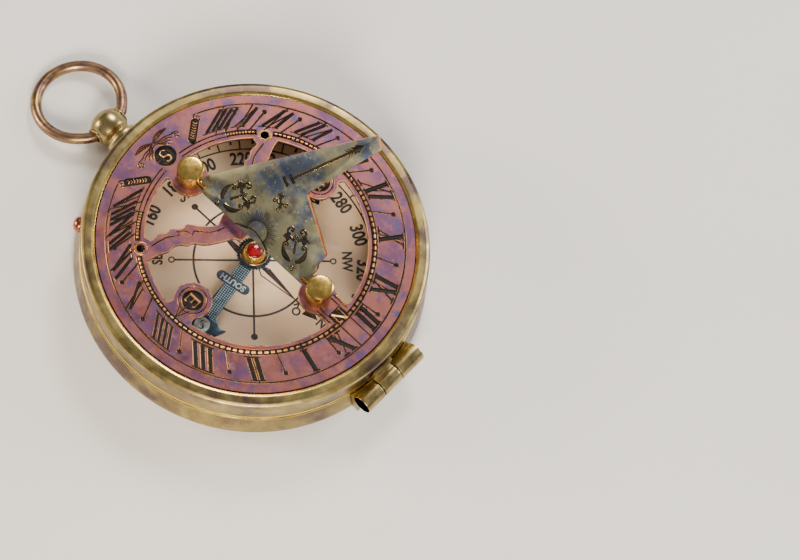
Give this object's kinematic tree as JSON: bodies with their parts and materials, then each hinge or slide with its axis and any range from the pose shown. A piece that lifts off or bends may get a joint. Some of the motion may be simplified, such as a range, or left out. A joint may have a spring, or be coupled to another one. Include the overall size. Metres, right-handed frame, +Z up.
{
  "type": "pocket sundial",
  "caption": "Round brass pocket sundial: a pierced hinged lid with a folding gnomon over a glazed compass, and a pendant with a swinging bow.",
  "frame": {"origin": "centre of the case's flat base", "axes": "+Z up through the dial, +Y towards the hinge (dial north), +X towards dial east; the lid is closed and the gnomon is half raised"},
  "size_m": [0.0786, 0.1079, 0.0443],
  "materials": {
    "aged_brass": "turned brass, darkened and rubbed bright on its edges",
    "bright_brass": "polished",
    "dark_brass": "heat-patinated, blue to brown",
    "patina_copper": "copper-toned plate, etched, purple and blue patina",
    "gnomon_brass": "blue and olive patina, etched",
    "stud_copper": "burnished",
    "blued_steel": "blued, finely knurled",
    "bright_steel": "polished",
    "card": "printed card, matt",
    "glass": "clear, polished",
    "jewel": "red, faceted"
  },
  "bodies": {
    "case": {"case_shell": "aged_brass", "card_plate": "dark_brass", "compass_card": "card", "spacer_ring": "patina_copper", "glass": "glass", "bezel_ring": "aged_brass", "pivot": "bright_steel", "case_knuckle_east": "aged_brass", "case_knuckle_west": "aged_brass", "hinge_pin": "bright_brass", "pendant_collar": "aged_brass", "pendant_knob": "aged_brass"},
    "needle": {"needle_blade": "blued_steel", "needle_hub": "bright_brass", "needle_jewel": "jewel", "needle_collet": "blued_steel", "north_boss": "blued_steel", "north_name_plate": "blued_steel", "south_boss": "blued_steel", "south_name_plate": "blued_steel"},
    "lid": {"lid_rim": "aged_brass", "lid_inner_ring": "dark_brass", "dial_plate": "patina_copper", "north_post": "bright_brass", "south_post": "bright_brass", "north_nut": "bright_brass", "south_nut": "bright_brass", "lid_stud": "stud_copper", "lid_knuckle": "aged_brass"},
    "gnomon": {"gnomon_leaf": "gnomon_brass", "gnomon_north_pin": "bright_brass", "gnomon_south_pin": "bright_brass"},
    "bow": {"bow": "dark_brass"}
  },
  "joints": [
    {"name": "lid_hinge", "type": "hinge", "parent": "case", "child": "lid", "pos_m": [0, 0.04055, 0.0084], "axis": [-1, 0, 0], "range_deg": [0, 165]},
    {"name": "gnomon_fold", "type": "hinge", "parent": "lid", "child": "gnomon", "pos_m": [0, 0, 0.0184], "axis": [0, 1, 0], "range_deg": [-45, 45]},
    {"name": "needle_spin", "type": "hinge", "parent": "case", "child": "needle", "pos_m": [0, 0, 0.0068], "axis": [0, 0, 1], "continuous": true},
    {"name": "bow_swing", "type": "hinge", "parent": "case", "child": "bow", "pos_m": [0, -0.0451, 0.0043], "axis": [1, 0, 0], "range_deg": [-100, 77]}
  ]
}
